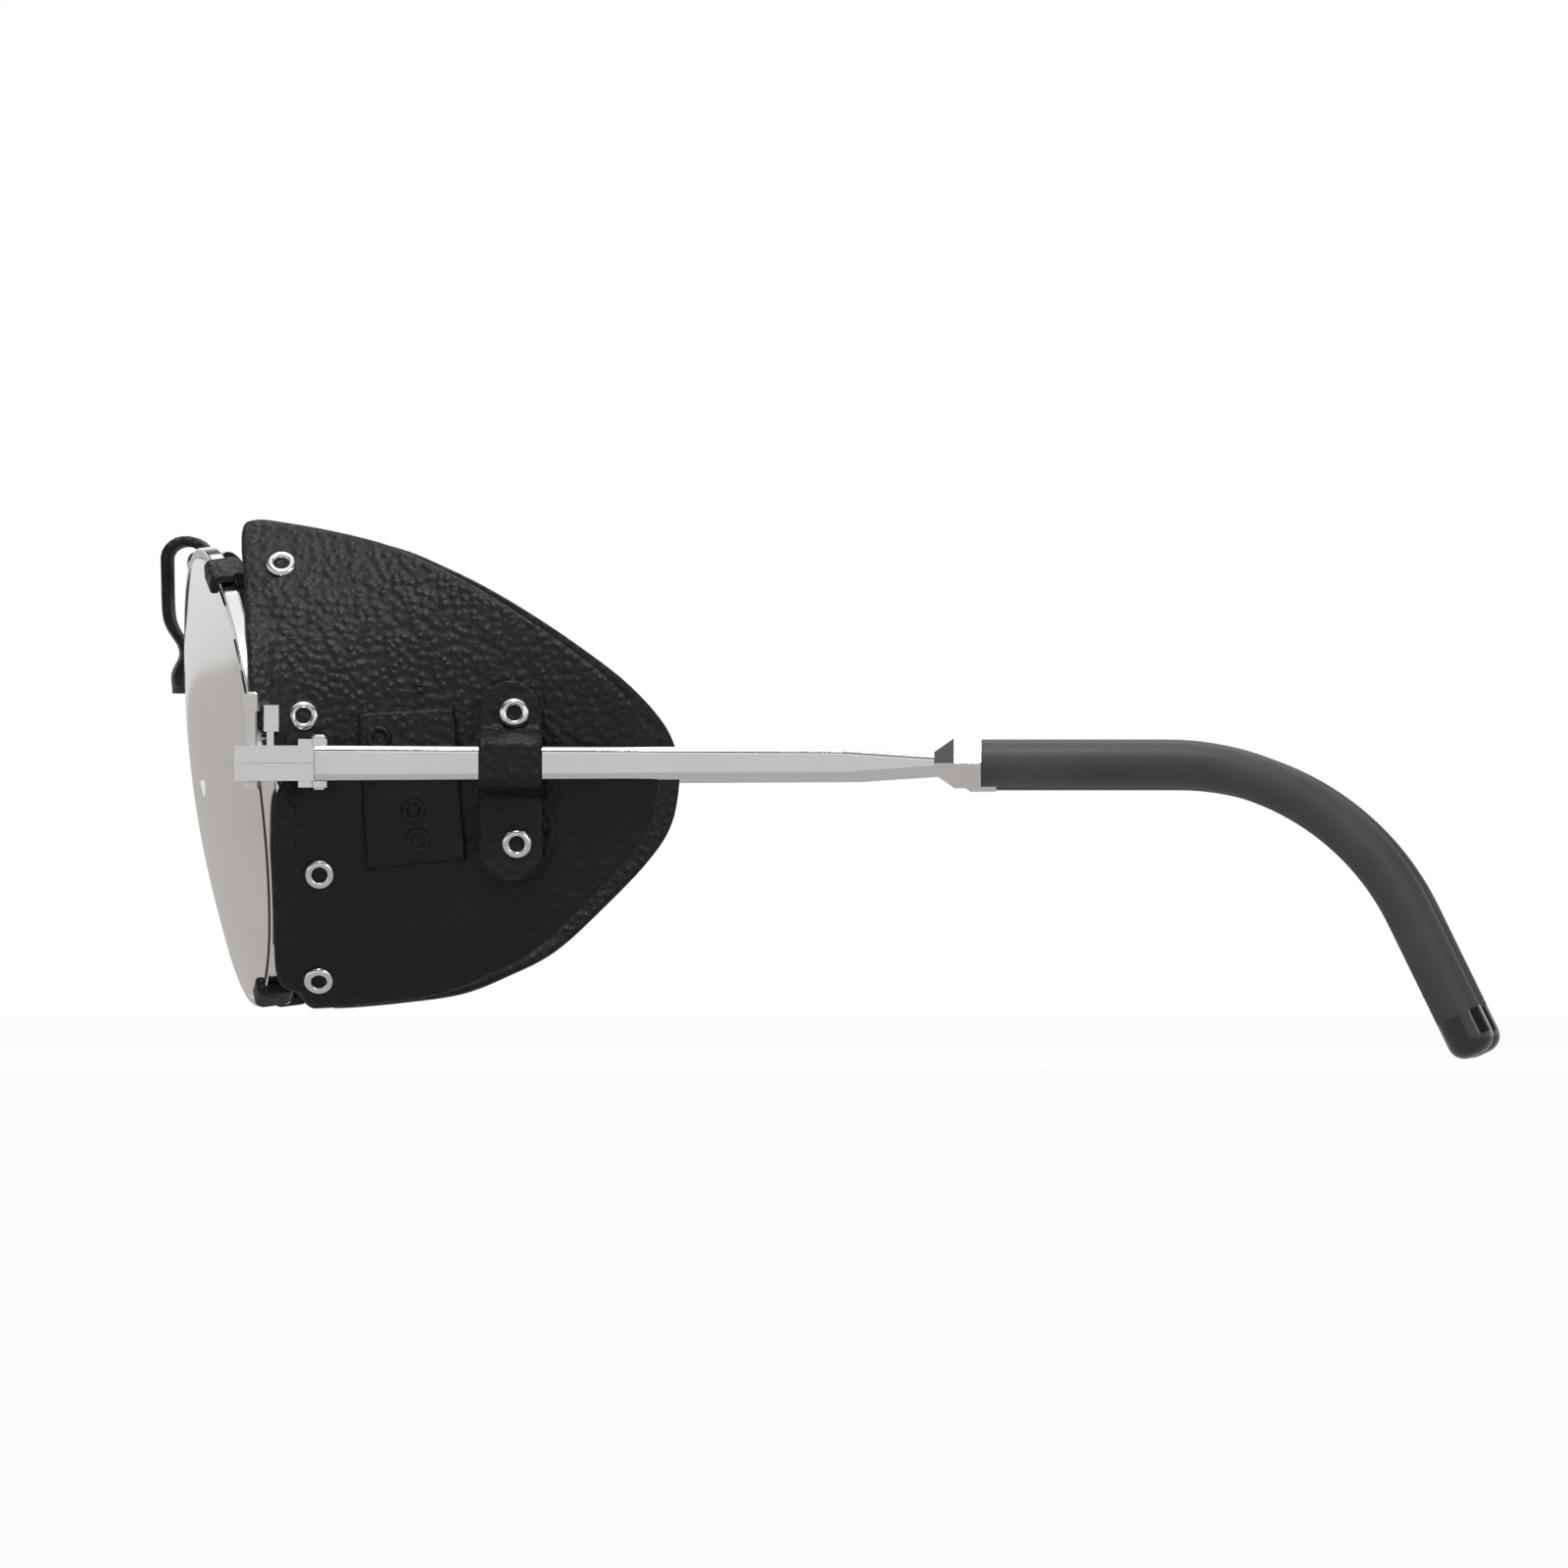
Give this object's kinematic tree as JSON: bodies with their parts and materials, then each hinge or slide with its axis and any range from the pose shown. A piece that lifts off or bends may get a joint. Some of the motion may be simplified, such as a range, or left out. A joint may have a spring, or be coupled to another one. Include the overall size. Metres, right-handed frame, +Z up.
{
  "type": "glacier glasses",
  "caption": "Round mirrored glacier glasses with folding metal temples, leather side shields and a leather nose guard.",
  "frame": {"origin": "middle of the bounding box at the height of the ear tips' lowest points", "axes": "+X wearer's left, -Y forward (the way the wearer looks), +Z up"},
  "size_m": [0.1426, 0.1514, 0.0608],
  "materials": {
    "rubber": "matte grey",
    "gloss_cap": "gloss black",
    "mirror_lens": "silver flash mirror",
    "clear_silicone": "translucent",
    "leather": "black grained",
    "eyelet_steel": "polished",
    "screw_steel": "satin",
    "chrome": "polished"
  },
  "bodies": {
    "front": {"bridge_bar": "chrome", "left_closing_screw": "screw_steel", "left_front_eyelets": "eyelet_steel", "left_front_hinge_leaf": "chrome", "left_hinge_screw": "screw_steel", "left_lens": "mirror_lens", "left_lock_block": "chrome", "left_lower_end_piece": "chrome", "left_lower_rim_loop": "leather", "left_nose_pad": "clear_silicone", "left_pad_wire": "chrome", "left_rim": "chrome", "left_upper_end_piece": "chrome", "left_upper_rim_loop": "leather", "nose_guard": "leather", "right_closing_screw": "screw_steel", "right_front_eyelets": "eyelet_steel", "right_front_hinge_leaf": "chrome", "right_hinge_screw": "screw_steel", "right_lens": "mirror_lens", "right_lock_block": "chrome", "right_lower_end_piece": "chrome", "right_lower_rim_loop": "leather", "right_nose_pad": "clear_silicone", "right_pad_wire": "chrome", "right_rim": "chrome", "right_upper_end_piece": "chrome", "right_upper_rim_loop": "leather"},
    "left_temple": {"left_arm": "chrome", "left_core_wire": "screw_steel", "left_ear_sleeve": "rubber", "left_ferrule": "chrome", "left_side_shield": "leather", "left_strap_eyelets": "eyelet_steel", "left_temple_hinge_leaf": "chrome", "left_temple_strap": "leather", "left_tip_cap": "gloss_cap", "left_vent_panel": "leather"},
    "right_temple": {"right_arm": "chrome", "right_core_wire": "screw_steel", "right_ear_sleeve": "rubber", "right_ferrule": "chrome", "right_side_shield": "leather", "right_strap_eyelets": "eyelet_steel", "right_temple_hinge_leaf": "chrome", "right_temple_strap": "leather", "right_tip_cap": "gloss_cap", "right_vent_panel": "leather"}
  },
  "joints": [
    {"name": "left_temple_fold", "type": "hinge", "parent": "front", "child": "left_temple", "pos_m": [0.0659, -0.0575, 0.03357], "axis": [0, 0, 1], "range_deg": [0, 90], "deforming": ["left_side_shield", "left_temple_strap", "left_vent_panel"]},
    {"name": "right_temple_fold", "type": "hinge", "parent": "front", "child": "right_temple", "pos_m": [-0.0659, -0.0575, 0.03357], "axis": [0, 0, -1], "range_deg": [0, 65], "deforming": ["right_side_shield", "right_temple_strap", "right_vent_panel"]}
  ]
}
